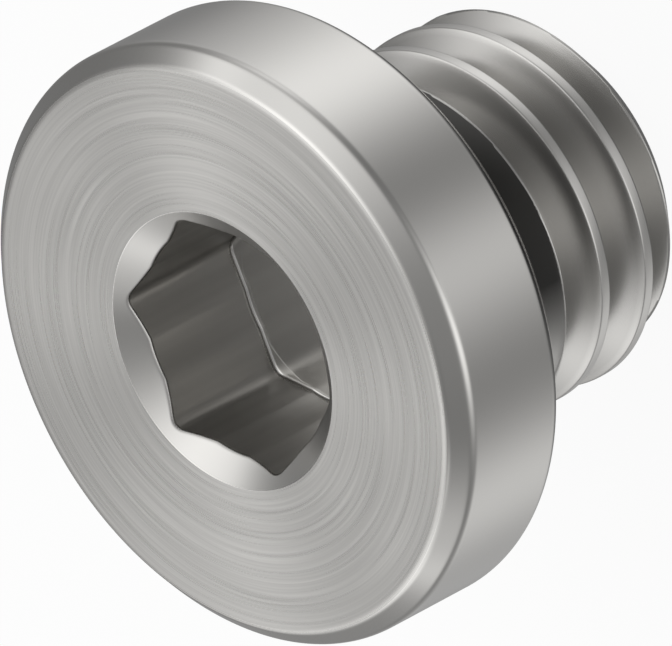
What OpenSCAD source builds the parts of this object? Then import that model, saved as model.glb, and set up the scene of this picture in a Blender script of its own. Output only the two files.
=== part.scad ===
// Screw plug with a round flat head, a hex socket and a short right-hand metric thread.
// All sizes are in millimetres. The plug stands on the threaded end, with the axis along +Z
// and the origin at the middle of the end face. The head is at the top.

/* [Head] */
// Diameter of the head
head_d = 8; // [6.8:0.1:12]
// Thickness of the head
head_h = 2; // [1.4:0.1:4]
// Chamfer on the upper and the lower rim of the head
rim_chamfer = 0.25; // [0.1:0.05:0.4]
// Radius that softens both corners of each rim chamfer
rim_round = 0.15; // [0.05:0.01:0.2]

/* [Hex socket] */
// Width of the socket across its flats
socket_af = 3; // [2:0.1:3.6]
// Depth of the socket from the head's face
socket_depth = 2; // [1.2:0.1:2.4]
// Radius in the six corners of the socket
socket_corner = 0.24; // [0.05:0.01:0.4]
// Direction of one of the six corners, seen from above, in degrees from +X
socket_turn = -11; // [-30:1:30]
// How much wider than the flats the bore is that was drilled before the hex was cut
pilot_extra_d = 0.045; // [0.02:0.005:0.1]
// How much deeper than the hex that bore ends
pilot_extra_h = 0.03; // [0.01:0.01:0.2]
// How much wider than the flats the countersink is at the head's face
countersink_extra_d = 0.7; // [0.55:0.05:1.2]
// Full angle of the countersink
countersink_angle = 106; // [90:1:120]

/* [Threaded shank] */
// Length of the shank, from the head's underside to the end face
shank_l = 4; // [3.4:0.1:12]
// Outer diameter of the thread, a little under its nominal 5
thread_d = 4.96; // [4.6:0.02:6]
// Pitch of the thread
pitch = 0.8; // [0.5:0.05:1]
// Direction in which the thread's crest leaves the end face, in degrees below +X
thread_turn = 155; // [0:5:355]
// Width of the 45 degree chamfer at the end of the thread
end_chamfer = 0.45; // [0.1:0.05:0.8]

/* [Neck] */
// Diameter of the relief behind the head
neck_d = 3.7; // [3.2:0.05:3.9]
// Length of the relief, up to the foot of the slope that leads to the thread
neck_l = 1; // [0.6:0.1:1.4]
// Radius between the relief and the head's underside
neck_fillet = 0.3; // [0.1:0.05:0.5]

/* [Hidden] */
$fn = 96;
// Steel grey
steel = [0.72, 0.71, 0.69];

// The head and the shank
head_r = head_d / 2;
thread_r = thread_d / 2;
neck_r = neck_d / 2;
top = shank_l + head_h;
neck_foot = shank_l - neck_l;
slope_top = neck_foot - (thread_r - neck_r);
end_r = thread_r - end_chamfer;
// The chamfer's length has to hold the two arcs that soften its corners
soft_r = min(rim_round, 1.6 * rim_chamfer);

// The thread has 60 degree flanks. Its depth and the flat on its crest follow the pitch
flank_angle = 30;
thread_depth = 0.613 * pitch;
crest_w = 0.1875 * pitch;
root_w = pitch - crest_w - 2 * thread_depth * tan(flank_angle);
root_arc = root_w / 2 / tan(flank_angle);
// The slope behind the thread runs on into the relief, so that the two pieces overlap cleanly
slope_in = 0.1;
rod_h = neck_foot + slope_in;
// Sides of the threaded rod, and the least height between its end rings and other points
turn_steps = 48;
ring_gap = 0.02;

// The socket
pilot_r = (socket_af + pilot_extra_d) / 2;
sink_r = (socket_af + countersink_extra_d) / 2;
// The countersink's cutter ends inside the bore, and starts above the head's face
sink_foot_r = 0.9 * pilot_r;
sink_over = 0.1;
sink_slope = tan(countersink_angle / 2);

function unit(v) = v / norm(v);

// Points of the arc of radius r that rounds corner b between its neighbours a and c
function corner_arc(a, b, c, r, steps) =
    let (u = unit(a - b), v = unit(c - b), half = acos(u * v) / 2,
        centre = b + unit(u + v) * r / sin(half),
        start = b + u * r / tan(half) - centre,
        sweep = (180 - 2 * half) * (cross(u, v) > 0 ? -1 : 1))
    [for (i = [0 : steps]) let (t = sweep * i / steps)
        centre + [start.x * cos(t) - start.y * sin(t), start.x * sin(t) + start.y * cos(t)]];

// A closed outline whose corners [x, y, radius] are rounded where the radius isn't 0
function softened(corners, steps) =
    let (n = len(corners), p = [for (q = corners) [q.x, q.y]])
    [for (i = [0 : n - 1]) each corners[i][2] == 0 ? [p[i]]
        : corner_arc(p[(i + n - 1) % n], p[i], p[(i + 1) % n], corners[i][2], steps)];

// Head and relief as one turned piece. The relief's core runs on inside the thread
module head_and_neck() {
    rotate_extrude()
        polygon(softened([
            [0, slope_top, 0],
            [neck_r, slope_top, 0],
            [neck_r, shank_l, neck_fillet],
            [head_r - rim_chamfer, shank_l, soft_r],
            [head_r, shank_l + rim_chamfer, soft_r],
            [head_r, top - rim_chamfer, soft_r],
            [head_r - rim_chamfer, top, soft_r],
            [0, top, 0]], 5));
}

// Section of the thread from the middle of a crest to the middle of the next, as
// [height, depth below the crest]: flat crest, flank, and an arc at the root
half_section = let (foot = [pitch / 2 - root_arc * cos(flank_angle),
                            thread_depth - root_arc * (1 - sin(flank_angle))])
    [[crest_w / 2, 0], ([crest_w / 2, 0] + foot) / 2, foot,
     [pitch / 2 - root_arc / 2, thread_depth - root_arc * (1 - cos(30))]];
section = concat(half_section, [[pitch / 2, thread_depth]],
    [for (i = [len(half_section) - 1 : -1 : 0]) [pitch - half_section[i][0], half_section[i][1]]]);

// Depth of the thread at a height above the middle of some crest
function depth_at(h) =
    lookup(h - pitch * floor(h / pitch), concat([[0, 0]], section, [[pitch, 0]]));

// Radius of the plain rod that the thread is cut in, at height z: end chamfer, rod, slope
function rod_r(z) = min(end_r + z, thread_r, neck_r + neck_foot - z);

// Threaded rod: rows of points follow the crest up the right-hand helix, and those past
// either end are drawn back to a ring there. Column i is a step of the turn. The points are
// the middles of both ends, the two rings and then the rows
module threaded_rod() {
    n = len(section);
    rows = n * (ceil(rod_h / pitch) + 3);
    function lead(i) = pitch * (i / turn_steps + thread_turn / 360 - 2);
    function height(i, j) = pitch * floor(j / n) + section[j % n][0] + lead(i);
    function at(i, r, z) = [r * cos(360 * i / turn_steps), r * sin(360 * i / turn_steps), z];
    function ring_r(i, z) = min(rod_r(z), thread_r - depth_at(z - lead(i)));
    function corner(i, j) =
        let (k = i % turn_steps + 2, m = j + n * floor(i / turn_steps), z = height(k - 2, m))
        z < ring_gap ? k : z > rod_h - ring_gap ? turn_steps + k : turn_steps * (2 + m) + k;
    columns = [0 : turn_steps - 1];
    low_ring = [for (i = columns) at(i, ring_r(i, 0), 0)];
    high_ring = [for (i = columns) at(i, ring_r(i, rod_h), rod_h)];
    helix = [for (j = [0 : rows + n], i = columns)
        let (z = height(i, j)) at(i, min(rod_r(z), thread_r - section[j % n][1]), z)];
    sides = [for (i = columns, j = [0 : rows - 1])
        let (a = corner(i, j), b = corner(i + 1, j), c = corner(i + 1, j + 1), d = corner(i, j + 1))
        each [[a, d, c], [a, c, b]]];
    ends = [for (i = columns) let (k = i + 2, next = (i + 1) % turn_steps + 2)
        each [[0, k, next], [1, turn_steps + next, turn_steps + k]]];
    polyhedron(
        concat([[0, 0, 0], [0, 0, rod_h]], low_ring, high_ring, helix),
        concat(ends, [for (f = sides) if (f[0] != f[1] && f[1] != f[2] && f[2] != f[0]) f]));
}

// Everything that is taken out of the head: bore, hex and countersink
module socket_cutter() {
    corner_r = socket_af / sqrt(3);
    translate([0, 0, top - socket_depth - pilot_extra_h])
        cylinder(r = pilot_r, h = socket_depth + pilot_extra_h);
    translate([0, 0, top - socket_depth])
        rotate([0, 0, socket_turn])
            linear_extrude(socket_depth)
                polygon(softened([for (i = [0 : 5])
                    [corner_r * cos(60 * i), corner_r * sin(60 * i), socket_corner]], 4));
    sink_h = (sink_r - sink_foot_r) / sink_slope;
    translate([0, 0, top - sink_h])
        cylinder(r1 = sink_foot_r, r2 = sink_r + sink_over * sink_slope, h = sink_h + sink_over);
}

module screw_plug() {
    color(steel)
        difference() {
            union() {
                head_and_neck();
                threaded_rod();
            }
            socket_cutter();
        }
}

screw_plug();
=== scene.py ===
import bpy
import numpy as np
from mathutils import Matrix


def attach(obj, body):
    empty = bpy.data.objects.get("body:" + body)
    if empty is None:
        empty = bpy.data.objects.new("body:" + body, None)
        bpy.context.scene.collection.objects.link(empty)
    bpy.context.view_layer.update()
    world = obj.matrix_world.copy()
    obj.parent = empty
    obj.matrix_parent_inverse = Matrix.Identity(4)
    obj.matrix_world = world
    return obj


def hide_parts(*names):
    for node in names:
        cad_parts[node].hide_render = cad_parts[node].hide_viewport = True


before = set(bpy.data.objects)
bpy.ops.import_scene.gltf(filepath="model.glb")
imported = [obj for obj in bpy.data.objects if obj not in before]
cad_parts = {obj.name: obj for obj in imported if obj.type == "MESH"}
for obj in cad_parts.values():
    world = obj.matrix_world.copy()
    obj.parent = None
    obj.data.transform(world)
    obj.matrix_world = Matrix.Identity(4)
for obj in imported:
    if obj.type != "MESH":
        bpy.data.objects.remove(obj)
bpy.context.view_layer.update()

MM = 0.001

# Driving sizes of the plug as in the part's own drawing, in millimetres. THREAD_TURN is in degrees
HEAD_R = 4.0
TOP = 6.0
SEAT = 4.0
RIM_CHAMFER = 0.25
RIM_ROUND = 0.15
HEX_FLATS = 3.0
HEX_CORNER_ROUND = 0.24
HEX_TURN = np.radians(-11)
HEX_DEPTH = 2.0
BORE_R = 1.5225
SINK_R = 1.85
SINK_HALF_ANGLE = np.radians(53)
THREAD_R = 2.48
PITCH = 0.8
THREAD_TURN = 155
THREAD_DEPTH = 0.613 * PITCH
CREST_FLAT = 0.1875 * PITCH
END_CHAMFER = 0.45
NECK_R = 1.85
NECK_FOOT = 3.0
NECK_FILLET = 0.3

# Height of the ridge between the thread's outside and the slope that leads to the relief
SLOPE_TOP = NECK_R + NECK_FOOT - THREAD_R

# How much deeper than the hex the drilled bore ends. The drawing has 0.03, but the photograph shows
# next to no step at the socket's foot
BORE_EXTRA_DEPTH = 0.004

# Small real roundings that a cutting tool and polishing leave on edges, in millimetres
SINK_RIM_ROUND = 0.075
SINK_EDGE_ROUND = 0.02
SOCKET_FOOT_ROUND = 0.05
NECK_FOOT_ROUND = 0.05

# Softness of the thread's edges, in millimetres: of the ridges round the plain rod, of the crest's
# edges, and of the edges that the end chamfer and the slope cut into the flanks
RIDGE_SOFT = 0.02
CREST_SOFT = 0.016
CUT_SOFT = 0.004

# The skin's grid: the steps round the plug, the height on the slope where the thread's rows take
# over from the turned outline, and how near to either end of the thread a row may come
AROUND = 288
THREAD_ROWS_TOP = 2.9
END_GAP = 0.004

# The socket's rows: radii of the rings on its floor, distances from the shelf's foot with the share
# of the step that is climbed there, and shares of the way up the wall and up the countersink
FLOOR_RINGS = (0.02, 0.3, 0.7, 1.1, 1.35, 1.44)
SHELF_STEP = ((-0.012, 0), (-0.004, 0.15), (0.001, 0.85), (0.003, 1))
WALL_SHARES = (0.01, 0.1, 0.25, 0.4, 0.55, 0.7, 0.85, 0.97, 0.995)
CONE_SHARES = (0.06, 0.3, 0.6, 0.94)

# The thread's rows over half a pitch, in millimetres: about the edge of the crest's flat, down the
# flank evenly between two distances from that edge and from the root's middle, and about the root.
# The rows beside a ridge come to within RIDGE_ROW_GAP of it
EDGE_ROWS = (-0.03, -0.018, -0.011, -0.006, -0.002, 0.002, 0.006, 0.011, 0.02)
FLANK_FROM_EDGE, FLANK_FROM_ROOT, FLANK_ROWS = 0.04, 0.075, 11
ROOT_ROWS = (0.0628, 0.054, 0.04, 0.02)
RIDGE_ROW_GAP = 0.02

# Two rings on the end face: one this far inside its edge, and one at this share of its radius
END_RING_IN, END_RING_SHARE = 0.012, 0.6

# The photograph: its size in pixels, how many of them a millimetre takes at the seat's middle, and
# where that middle lies. The line of sight is tilted from the plug's axis, the picture is rolled
# about it, and the camera stands this many millimetres away
PHOTO_W, PHOTO_H = 672, 646
PIXELS_A_MM = 80.52
SEAT_MIDDLE_PX = (331.6, 294.0)
VIEW_TILT = np.radians(50.02)
VIEW_ROLL = np.radians(27.79)
CAMERA_AWAY = 345.0

# Steel's colour, and the shares of it that painted shade takes from the relief below the head and from
# the thread's grooves. The relief's painted shade fades out between two distances from the axis, and
# also between two places along X, so that the relief is painted lighter on its -X side, where it is
# lit.
# The grooves' painted shade begins just below the crest and is full a little deeper. All in
# millimetres
STEEL = (0.62, 0.61, 0.59)
RELIEF_PAINTED_SHADE = 0.87
SHADE_FULL_R, SHADE_END_R = 2.4, 3.4
SHADE_FULL_X, SHADE_END_X = -1.15, -2.05
GROOVE_PAINTED_SHADE = 0.17
GROOVE_START_R, GROOVE_FADE = 2.47, 0.08

# Turning marks as (noise steps a millimetre of radius, spread round the axis, share), and the noise
# steps a millimetre of the painted reflection bands along the socket's wall
TURNING_MARKS = ((8, 0.7, 0.4), (19, 1.1, 1.0), (42, 1.4, 1.3))
WALL_BANDS_A_MM = 3

# The floor's own colour, and the share of plain white in what the camera sees of it
FLOOR_COLOUR = (0.9, 0.9, 0.9, 1)
FLOOR_WHITE = 0.93

# The studio's even level. Between two heights, given as sines of the elevation, it fades to a share
EVEN_LIGHT = 0.28
FADE_FROM, FADE_TO = -0.73, -0.87
FADED_SHARE = 0.06

# The studio's soft lamps as (azimuth, elevation, half width, strength). Angles are in degrees.
# Azimuth 0 is the side that the photograph is taken from and 90 is +X
LAMPS = (
    (85, 60, 27, 1.85),
    (-137, 38, 18, 1.6),
    (180, 40, 14, 0.2),
    (-154, 62, 7, 2.3),
    (-165, 26, 7, 1.3),
    (70, -42, 18, 1.2),
    (-12, -40, 14, 0.64),
    (-110, -28, 27, 0.2),
    (-101, -40, 17, 0.6),
    (-155, -40, 17, 0.25),
    (110, -42, 18, 0.4),
    (-37, -20, 11, 0.3),
    (-30, 2, 22, 1.45),
    (72, -3, 17, 1.0),
    (-120, 20, 6.5, 0.9),
    (-100, 25, 11, 0.45),
    (152, 47, 6.5, 1.25),
    (-91, 43, 6.5, 0.5),
    (100, 30, 8, 0.8),
    (-160, 8, 11, 0.5),
)


def arc(corner, before, after, radius, steps=5):
    """Points (r, z) of the arc of that radius that rounds a corner between its neighbours.

    The arc touches both sides at radius / tan(half angle) from the corner, and its middle lies
    on the line that halves the angle. One more point stands close before and after it, so that
    the flat sides stay flat in smooth shading.
    """
    corner, before, after = (np.array(p, float) for p in (corner, before, after))
    u = (before - corner) / np.linalg.norm(before - corner)
    v = (after - corner) / np.linalg.norm(after - corner)
    half = np.arccos(np.clip(u @ v, -1, 1)) / 2
    reach = radius / np.tan(half)
    middle = corner + (u + v) / np.linalg.norm(u + v) * radius / np.sin(half)
    a, b = corner + u * reach - middle, corner + v * reach - middle
    turn = np.arctan2(a[0] * b[1] - a[1] * b[0], a @ b)
    t = np.linspace(0, turn, steps + 1)[:, None]
    round_part = middle + a * np.cos(t) + np.array([-a[1], a[0]]) * np.sin(t)
    hold = 0.15 * radius
    return np.vstack([corner + u * (reach + hold), round_part, corner + v * (reach + hold)])


def straight(start, end, steps):
    """Points (r, z) evenly from start to end, without the two ends themselves."""
    t = np.linspace(0, 1, steps + 2)[1:-1, None]
    return np.array(start, float) * (1 - t) + np.array(end, float) * t


def hex_radius(angle):
    """Distance from the axis to the socket's wall, for each angle round the plug.

    Along a flat it is half the width over the cosine of the angle from the flat's middle. In a
    corner it is the far crossing of that ray with the circle that rounds the corner.
    """
    from_corner = np.mod(angle - HEX_TURN + np.pi / 6, np.pi / 3) - np.pi / 6
    flat = HEX_FLATS / 2 / np.cos(np.pi / 6 - np.abs(from_corner))
    middle = (HEX_FLATS / 2 - HEX_CORNER_ROUND) / np.cos(np.pi / 6)
    side = middle * np.sin(from_corner)
    far = middle * np.cos(from_corner) + np.sqrt(np.maximum(HEX_CORNER_ROUND**2 - side**2, 0))
    touches = np.arctan2(HEX_CORNER_ROUND / 2, middle + HEX_CORNER_ROUND * np.cos(np.pi / 6))
    return np.where(np.abs(from_corner) < touches, far, flat)


def socket_rows(angle):
    """Rows of the socket from its floor's middle to the countersink, one (r, z) pair of columns a row.

    The wall at each angle is the farther of the drilled bore and the hex. The bore ends a little
    deeper, so the floor has a low shelf in each corner, which grows to its height while the wall
    draws 0.03 mm away from the bore. Four rows close together make the shelf's step. Where the
    wall meets the countersink's cone, an arc rounds the rim, which climbs in the corners because
    the cone widens upwards. Rows lie closest where a flat part ends, so that it shades flat.
    """
    clear_of_bore = 0.0005
    clear_of_foot = 0.004
    shelf_grows_over = 0.03
    wall = np.maximum(hex_radius(angle), BORE_R + clear_of_bore)
    low = TOP - HEX_DEPTH - BORE_EXTRA_DEPTH
    shelf = low + BORE_EXTRA_DEPTH * np.clip((wall - BORE_R) / shelf_grows_over, 0, 1)
    step = np.minimum(BORE_R, wall - SOCKET_FOOT_ROUND - clear_of_foot)
    even = np.ones_like(angle)
    rows = [(r * even, low * even) for r in FLOOR_RINGS]
    for beside, share in SHELF_STEP:
        rows.append((step + beside, low + share * (shelf - low)))
    for t in np.radians(np.linspace(0, 90, 6)):
        rows.append((wall - SOCKET_FOOT_ROUND * (1 - np.sin(t)),
                     shelf + SOCKET_FOOT_ROUND * (1 - np.cos(t))))
    rim_tangent = SINK_RIM_ROUND * np.tan(SINK_HALF_ANGLE / 2)
    rim = TOP - (SINK_R - wall) / np.tan(SINK_HALF_ANGLE)
    foot = shelf + SOCKET_FOOT_ROUND
    head = rim - rim_tangent
    for t in WALL_SHARES:
        rows.append((wall, foot + (head - foot) * t))
    for t in np.linspace(0, SINK_HALF_ANGLE, 6):
        rows.append((wall + SINK_RIM_ROUND * (1 - np.cos(t)), head + SINK_RIM_ROUND * np.sin(t)))
    start = wall + SINK_RIM_ROUND * (1 - np.cos(SINK_HALF_ANGLE))
    end = SINK_R - SINK_EDGE_ROUND
    for t in CONE_SHARES:
        r = start + (end - start) * t
        rows.append((r, TOP - (SINK_R - r) / np.tan(SINK_HALF_ANGLE)))
    return rows


def head_outline():
    """Points (r, z) of the turned outline from the countersink's edge to the slope at the thread."""
    sink_point = (SINK_R - 1, TOP - 1 / np.tan(SINK_HALF_ANGLE))
    face_end = (HEAD_R - RIM_CHAMFER, TOP)
    side_top, side_foot = (HEAD_R, TOP - RIM_CHAMFER), (HEAD_R, SEAT + RIM_CHAMFER)
    seat_end = (HEAD_R - RIM_CHAMFER, SEAT)
    neck_top, neck_low = (NECK_R, SEAT), (NECK_R, NECK_FOOT)
    slope_end = (THREAD_R, SLOPE_TOP)
    return np.vstack([
        arc((SINK_R, TOP), sink_point, face_end, SINK_EDGE_ROUND),
        straight((SINK_R, TOP), face_end, 6),
        arc(face_end, (SINK_R, TOP), side_top, RIM_ROUND, 7),
        arc(side_top, face_end, side_foot, RIM_ROUND, 7),
        straight(side_top, side_foot, 2),
        arc(side_foot, side_top, seat_end, RIM_ROUND, 7),
        arc(seat_end, side_foot, neck_top, RIM_ROUND, 7),
        straight(seat_end, neck_top, 3),
        arc(neck_top, seat_end, neck_low, NECK_FILLET, 7),
        arc(neck_low, neck_top, slope_end, NECK_FOOT_ROUND),
    ])


def soft_min(a, b, soft):
    """The smaller of a and b, rounded where they cross: half of a + b - root((a - b)² + soft²)."""
    return 0.5 * (a + b - np.sqrt((a - b) ** 2 + soft**2))


def end_radius(z):
    """Radius of the cone of the end chamfer at height z, which widens upwards at 45 degrees."""
    return THREAD_R - END_CHAMFER + z


def slope_radius(z):
    """Radius of the cone behind the thread at height z, which narrows upwards at 45 degrees."""
    return NECK_R + NECK_FOOT - z


def rod_radius(z):
    """Radius of the plain rod at height z: end chamfer, full rod and the slope behind the thread."""
    return soft_min(soft_min(end_radius(z), THREAD_R, RIDGE_SOFT), slope_radius(z), RIDGE_SOFT)


def crest_height(angle):
    """Height of a crest's middle at each angle: right-handed, it climbs by one pitch a turn."""
    return PITCH * (angle / (2 * np.pi) + THREAD_TURN / 360 - 1)


def flank_radius(from_crest):
    """Radius of the thread's V at a distance along the axis from the middle of a crest.

    The flanks fall at 60 degrees to the axis from the edges of the crest's flat, and a circle
    that touches both flanks rounds the root. Over the crest the two flanks go on to a point,
    because the rod cuts them off.
    """
    h = np.abs(np.mod(from_crest + PITCH / 2, PITCH) - PITCH / 2)
    flank = np.radians(30)
    depth = (h - CREST_FLAT / 2) / np.tan(flank)
    root_r = (PITCH / 2 - CREST_FLAT / 2) / np.tan(flank) - THREAD_DEPTH
    from_root = PITCH / 2 - h
    in_root = from_root < root_r * np.cos(flank)
    bowl = np.sqrt(np.maximum(root_r**2 - from_root**2, 0))
    return THREAD_R - np.where(in_root, THREAD_DEPTH - root_r + bowl, depth)


def thread_steps():
    """Places of the rows along one pitch, from a crest's middle, closest together at its edges."""
    edge, root = CREST_FLAT / 2, PITCH / 2
    flank = np.linspace(edge + FLANK_FROM_EDGE, root - FLANK_FROM_ROOT, FLANK_ROWS)
    half = np.concatenate([edge + np.array(EDGE_ROWS), flank, root - np.array(ROOT_ROWS)])
    return np.concatenate([[0], half, [root], (PITCH - half)[::-1]])


def onto_ridge(z, above, allowed):
    """Move rows of heights z, column by column, onto the place where the quantity above changes sign.

    The place is found between two rows in a straight line, where both rows are allowed to move. The
    nearer one moves there, and the rows before and after it come to within RIDGE_ROW_GAP of it.
    """
    row, column = np.nonzero((above[:-1] * above[1:] < 0) & allowed[:-1] & allowed[1:])
    low, high = above[row, column], above[row + 1, column]
    share = low / (low - high)
    place = z[row, column] * (1 - share) + z[row + 1, column] * share
    nearer = row + (share > 0.5)
    z[nearer, column] = place
    z[nearer + 1, column] = np.minimum(z[nearer + 1, column], place + RIDGE_ROW_GAP)
    z[nearer - 1, column] = np.maximum(z[nearer - 1, column], place - RIDGE_ROW_GAP)


def thread_grid(angle):
    """Heights and radii of the thread's rows, from below the end face to above THREAD_ROWS_TOP.

    Each row follows the crest up the right-hand helix: its height grows by one pitch a turn.
    The radius is the softened smaller of the rod and the V. Where the end chamfer or the slope
    cuts a flank or the crest's flat, the nearest row moves onto that ridge and its neighbours
    move close to it, so that the ridge is a clean line with a narrow rounding.
    """
    steps = thread_steps()
    turns = int(np.ceil(THREAD_ROWS_TOP / PITCH)) + 2
    crest = crest_height(angle)
    row_start = (np.arange(turns)[:, None] * PITCH + steps[None]).ravel() - PITCH
    z = row_start[:, None] + crest[None]
    for ridge in (END_CHAMFER, SLOPE_TOP):
        onto_ridge(z, z - ridge, flank_radius(z - crest) > THREAD_R)
    plain = np.minimum(np.minimum(end_radius(z), THREAD_R), slope_radius(z))
    onto_ridge(z, plain - flank_radius(z - crest), (z < END_CHAMFER) | (z > SLOPE_TOP))
    softness = np.where(plain < THREAD_R - RIDGE_SOFT, CUT_SOFT, CREST_SOFT)
    r = soft_min(rod_radius(z), flank_radius(z - crest), softness)
    return z, r, len(steps)


def mesh_object(name, points, faces, finishes, finish_of=None):
    """A smooth-shaded piece from points in millimetres and three- or four-cornered faces.

    finish_of gives the number of the finish of each face, from the faces' middles.
    """
    mesh = bpy.data.meshes.new(name)
    mesh.from_pydata((points * MM).tolist(), [], faces.tolist())
    mesh.validate()
    mesh.update()
    mesh.polygons.foreach_set("use_smooth", np.ones(len(mesh.polygons), bool))
    for finish in finishes:
        mesh.materials.append(finish)
    if finish_of:
        middles = points[faces].mean(1)
        mesh.polygons.foreach_set("material_index", finish_of(*middles.T).astype(np.int32))
    piece = bpy.data.objects.new(name, mesh)
    bpy.context.scene.collection.objects.link(piece)
    return piece


def plug_surface():
    """Points and triangles of the whole plug as one closed skin.

    Columns are steps round the axis. Rows run from the socket's floor over the head and down
    the neck as rings, then along the thread as helix rows. A helix row that would leave the
    thread's length is drawn back to the ring there. After a turn a helix row goes on as the row
    that lies one pitch higher. Fans close the two middles, and the rings on the end face let it
    shade flat.
    """
    angle = np.arange(AROUND) * 2 * np.pi / AROUND
    even = np.ones_like(angle)
    rings = socket_rows(angle) + [(r * even, z * even) for r, z in head_outline()]
    helix_z, helix_r, a_turn = thread_grid(angle)
    top_z, end_z = THREAD_ROWS_TOP * even, 0 * even
    end_r = soft_min(rod_radius(end_z), flank_radius(end_z - crest_height(angle)), CREST_SOFT)
    row_r = np.vstack([[r for r, _ in rings], rod_radius(top_z), helix_r,
                       end_r, end_r - END_RING_IN, end_r * END_RING_SHARE])
    row_z = np.vstack([[z for _, z in rings], top_z, helix_z, end_z, end_z, end_z])
    points = np.stack([row_r * np.cos(angle), row_r * np.sin(angle), row_z], 2).reshape(-1, 3)
    number = np.arange(len(row_r) * AROUND).reshape(-1, AROUND)
    number = np.hstack([number, number[:, :1]])
    top_row = len(rings)
    end_row = top_row + 1 + len(helix_z)
    helix = number[top_row + 1:end_row].copy()
    helix[:-a_turn, -1] = helix[a_turn:, 0]
    high = np.hstack([helix_z, helix_z[:, :1] + PITCH])
    helix = np.where(high > THREAD_ROWS_TOP - END_GAP, number[top_row], helix)
    helix = np.where(high < END_GAP, number[end_row], helix)

    def strips(rows):
        """Two triangles for each square between neighbouring rows and columns."""
        a, b = rows[:-1, :-1], rows[:-1, 1:]
        c, d = rows[1:, 1:], rows[1:, :-1]
        return np.concatenate([np.stack([a, b, c], 2), np.stack([a, c, d], 2)]).reshape(-1, 3)

    upper = strips(number[:top_row + 1])
    lower = strips(number[end_row:])
    wound = strips(helix[::-1])
    floor_middle, end_middle = len(points), len(points) + 1
    points = np.vstack([points, [0, 0, row_z[0, 0]], [0, 0, 0]])
    first, last = number[0], number[-1]
    fans = np.concatenate([
        np.stack([np.full(AROUND, floor_middle), first[1:], first[:-1]], 1),
        np.stack([np.full(AROUND, end_middle), last[:-1], last[1:]], 1)])
    faces = np.concatenate([upper, wound, lower, fans])
    a, b, c = faces.T
    faces = faces[(a != b) & (b != c) & (c != a)][:, ::-1]
    used, faces = np.unique(faces, return_inverse=True)
    return points[used], faces.reshape(-1, 3)


class Wire:
    """A shader socket with plain arithmetic: each operator adds one Math node."""

    def __init__(self, sheet, socket):
        self.sheet, self.socket = sheet, socket

    def maths(self, operation, *values):
        return self.sheet.add("ShaderNodeMath", {"operation": operation},
                              dict(enumerate((self, *values))))

    def __add__(self, other):
        return self.maths("ADD", other)

    def __sub__(self, other):
        return self.maths("SUBTRACT", other)

    def __rsub__(self, other):
        return self * -1 + other

    def __mul__(self, other):
        return self.maths("MULTIPLY", other)

    def __truediv__(self, other):
        return self.maths("DIVIDE", other)

    def __pow__(self, other):
        return self.maths("POWER", other)

    __radd__ = __add__
    __rmul__ = __mul__

    def at_least(self, value):
        return self.maths("MAXIMUM", value)

    def between(self, low, high):
        return self.maths("MAXIMUM", low).maths("MINIMUM", high)


class Nodes:
    """The node tree of a material or of the world. Every node comes from one method, add."""

    def __init__(self, owner):
        owner.use_nodes = True
        self.owner = owner
        self.tree = owner.node_tree
        self.tree.nodes.clear()

    def add(self, kind, settings=None, values=None, out=0):
        """A node of that kind: settings first, then a value or a wire for each named socket."""
        node = self.tree.nodes.new(kind)
        for key, value in (settings or {}).items():
            setattr(node, key, value)
        for key, value in (values or {}).items():
            if isinstance(value, Wire):
                self.tree.links.new(value.socket, node.inputs[key])
            else:
                node.inputs[key].default_value = value
        return Wire(self, node.outputs[out]) if node.outputs else node

    def split(self, vector):
        """The x, y and z of a vector, each as a wire."""
        parts = self.add("ShaderNodeSeparateXYZ", None, {0: vector}).socket.node.outputs
        return [Wire(self, part) for part in parts]

    def finish_with(self, shader, kind="ShaderNodeOutputMaterial"):
        """Put the shader on the surface, and give back the material or the world."""
        self.add(kind, None, {"Surface": shader})
        return self.owner


def steel(name, roughness, streak=0.0, rings=0.0, bands=0.0, shade=0.0, groove_shade=0.0, tint=1.0):
    """Stainless steel. Tint scales its colour, and streak lengthens glints across the turning marks.

    Rings are turning marks: noises that change fast with the radius and slowly round the axis, in
    colour and roughness alike. Bands are painted reflection bands along the axis: noise over x and y
    alone. Shade is painted shade below the head: the share of colour that the steel loses there, which
    fades out towards the rim and towards -X, so that the -X side is painted lighter. Groove shade is
    painted shade in the thread's grooves: the share that the steel loses below the crest. A quarter
    turn lays the lengthened glints across the marks.
    """
    sheet = Nodes(bpy.data.materials.new(name))
    x, y, _ = sheet.split(sheet.add("ShaderNodeTexCoord", out="Object"))
    radius = (x * x + y * y) ** 0.5
    tone = tint
    if rings:
        for a_mm, round_about, share in TURNING_MARKS:
            where = sheet.add("ShaderNodeCombineXYZ", None, {
                "X": x / radius * round_about, "Y": y / radius * round_about,
                "Z": radius * (a_mm / MM)})
            marks = sheet.add("ShaderNodeTexNoise", None, {
                "Vector": where, "Scale": 1.0, "Detail": 0.0})
            tone = (marks - 0.5) * (rings * share) + tone
        roughness = tone * roughness
    # Painted reflection bands on the socket's wall: tone streaks along the axis
    if bands:
        a_metre = WALL_BANDS_A_MM / MM
        where = sheet.add("ShaderNodeCombineXYZ", None, {"X": x * a_metre, "Y": y * a_metre})
        marks = sheet.add("ShaderNodeTexNoise", None, {"Vector": where, "Scale": 1.0, "Detail": 2.0})
        tone = (marks - 0.5) * bands + tone
    # Painted shade below the head: darker colour, fading out towards the rim and towards -X
    if shade:
        inner = ((SHADE_END_R * MM - radius) / ((SHADE_END_R - SHADE_FULL_R) * MM)).between(0, 1)
        dark_side = ((x - SHADE_END_X * MM) / ((SHADE_FULL_X - SHADE_END_X) * MM)).between(0, 1)
        tone = tone - inner * dark_side * shade
    # Painted shade in the thread's grooves: darker colour below the crest
    if groove_shade:
        deep = ((GROOVE_START_R * MM - radius) / (GROOVE_FADE * MM)).between(0, 1)
        tone = tone - deep * groove_shade
    colour = sheet.add("ShaderNodeVectorMath", {"operation": "SCALE"}, {0: STEEL, "Scale": tone})
    return sheet.finish_with(sheet.add("ShaderNodeBsdfPrincipled", None, {
        "Base Color": colour, "Metallic": 1.0, "Roughness": roughness,
        "Anisotropic": streak, "Anisotropic Rotation": 0.25}))


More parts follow.
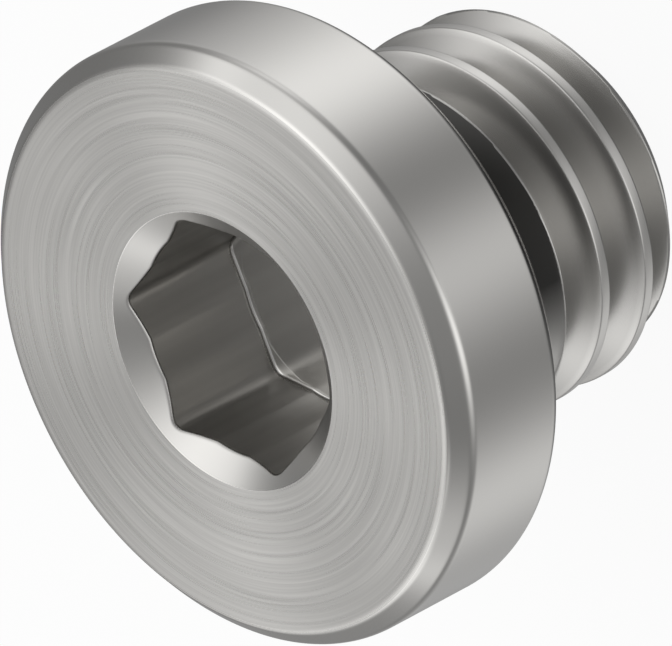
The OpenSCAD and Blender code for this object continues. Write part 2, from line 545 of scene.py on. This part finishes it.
def floor_finish():
    """Pale floor. The camera sees it all but white, so that only a soft shadow is left of the plug."""
    sheet = Nodes(bpy.data.materials.new("pale_floor"))
    seen = sheet.add("ShaderNodeLightPath", out="Is Camera Ray")
    plain = sheet.add("ShaderNodeBsdfDiffuse", None, {"Color": FLOOR_COLOUR})
    white = sheet.add("ShaderNodeEmission", None, {"Strength": 1.0})
    return sheet.finish_with(sheet.add("ShaderNodeMixShader", None, {
        "Fac": seen * FLOOR_WHITE, 1: plain, 2: white}))


def stage_floor():
    """A flat square sheet just under the plug, far wider than it.

    The steel doesn't mirror it, but what the surround holds below the horizon, as if the plug stood
    on a glowing table. It throws no shadow either, so that this light reaches the plug.
    """
    half = 400.0
    low = -0.01
    points = np.array([(-half, -half, low), (half, -half, low), (half, half, low), (-half, half, low)])
    floor = mesh_object("floor", points, np.array([[0, 1, 2, 3]]), [floor_finish()])
    floor.visible_glossy = False
    floor.visible_shadow = False


def surround():
    """Soft studio light from all round: an even level, and one soft round patch for each lamp.

    The even level fades between 47 and 60 degrees below the horizon, because it is dark straight
    below, which the head's underside mirrors. A patch is its strength times a power of the cosine
    of the angle from its middle. The power makes it half as strong at the half width. The camera
    sees the surround as white.
    """
    world = bpy.data.worlds.new("studio")
    bpy.context.scene.world = world
    sheet = Nodes(world)
    toward = sheet.add("ShaderNodeTexCoord", out="Generated")
    up = sheet.split(toward)[2]
    light = ((up - FADE_TO) / (FADE_FROM - FADE_TO)).between(FADED_SHARE, 1) * EVEN_LIGHT
    for azimuth, elevation, half_width, strength in LAMPS:
        a, e = np.radians(azimuth), np.radians(elevation)
        power = np.log(0.5) / np.log(np.cos(np.radians(half_width)))
        middle = (np.sin(a) * np.cos(e), -np.cos(a) * np.cos(e), np.sin(e))
        near = sheet.add("ShaderNodeVectorMath", {"operation": "DOT_PRODUCT"},
                         {0: toward, 1: middle}, out="Value")
        light = near.at_least(0) ** power * strength + light
    seen = sheet.add("ShaderNodeLightPath", out="Is Camera Ray")
    level = sheet.add("ShaderNodeMix", None, {"Factor": seen, "A": light, "B": 1.0})
    sheet.finish_with(sheet.add("ShaderNodeBackground", None, {"Strength": level}),
                      "ShaderNodeOutputWorld")


def photo_camera():
    """The photograph's camera: a long lens, tilted down on the standing plug and rolled."""
    toward = np.array([0, -np.sin(VIEW_TILT), np.cos(VIEW_TILT)])
    slant = np.array([0, -np.cos(VIEW_TILT), -np.sin(VIEW_TILT)])
    across = np.array([-1.0, 0, 0])
    right = np.cos(VIEW_ROLL) * slant + np.sin(VIEW_ROLL) * across
    down = -np.sin(VIEW_ROLL) * slant + np.cos(VIEW_ROLL) * across
    off = (np.array([PHOTO_W, PHOTO_H]) / 2 - SEAT_MIDDLE_PX) / PIXELS_A_MM
    target = np.array([0, 0, SEAT]) + off[0] * right + off[1] * down
    data = bpy.data.cameras.new("photo_camera")
    data.sensor_width = 36
    data.lens = data.sensor_width * PIXELS_A_MM * CAMERA_AWAY / PHOTO_W
    data.clip_start, data.clip_end = 0.01, 10
    camera = bpy.data.objects.new("photo_camera", data)
    turn = Matrix(np.column_stack([right, -down, toward]).tolist()).to_4x4()
    camera.matrix_world = Matrix.Translation(((target + CAMERA_AWAY * toward) * MM).tolist()) @ turn
    bpy.context.scene.collection.objects.link(camera)
    bpy.context.scene.camera = camera


def plug_finish(x, y, z):
    """Number of the finish at each point, in the order that plug() has them.

    0 is satin, 1 the socket's wall, 2 the thread, 3 the relief with the slope and the head's
    underside, 4 the turned face and 5 the countersink. The wall lies between its foot's rounding
    and the countersink's cone. The slope counts from a little above its ridge, where it is cut
    well into the flank, and the face reaches halfway over the rim's rounding.
    """
    near = 0.01
    above_ridge = 0.016
    into_flank = 0.044
    into_rim = 0.016
    sink_reach = 0.4
    radius = np.hypot(x, y)
    cone = TOP - (SINK_R - radius) / np.tan(SINK_HALF_ANGLE)
    in_hole = radius < SINK_R - near
    wall = in_hole & (z > TOP - HEX_DEPTH + SOCKET_FOOT_ROUND + near) & (z < cone - 3 * near)
    sink = in_hole & (z > TOP - sink_reach) & (z > cone - near)
    from_crest = z - crest_height(np.arctan2(y, x))
    slope = (radius > slope_radius(z) - near) & (z > SLOPE_TOP + above_ridge)
    slope = slope & (flank_radius(from_crest) > slope_radius(z) + into_flank)
    underside_r = HEAD_R - RIM_CHAMFER - RIM_ROUND
    below_head = (z < SEAT + 0.1 * near) & (radius > NECK_R - near) & (radius < underside_r)
    relief = (slope | (z > THREAD_ROWS_TOP)) & below_head
    thread = (z < THREAD_ROWS_TOP) & ~relief
    face = (z > TOP - into_rim) & (radius > SINK_R) & (radius < HEAD_R - RIM_CHAMFER + near)
    return 1 * wall + 2 * thread + 3 * relief + 4 * face + 5 * sink


def plug():
    """The screw plug: one closed piece of steel."""
    finishes = [steel("satin_steel", 0.2),
                # The socket's wall: its tint of 0.8 is painted shade in the recess, and its bands are
                # painted reflections
                steel("socket_steel_painted_shade", 0.3, bands=0.5, tint=0.8),
                # The thread's grooves carry painted shade in their colour
                steel("thread_steel_painted_groove_shade", 0.27, groove_shade=GROOVE_PAINTED_SHADE),
                # The relief, slope and head's underside carry painted shade in their colour
                steel("relief_steel_painted_shade", 0.3, shade=RELIEF_PAINTED_SHADE),
                steel("turned_face_steel", 0.29, streak=0.97, rings=0.2),
                steel("countersink_steel", 0.31)]
    piece = mesh_object("screw_plug_steel", *plug_surface(), finishes, plug_finish)
    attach(piece, "root")
    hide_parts("screw_plug")


bpy.context.scene.view_settings.view_transform = "Standard"
photo_camera()
plug()
stage_floor()
surround()
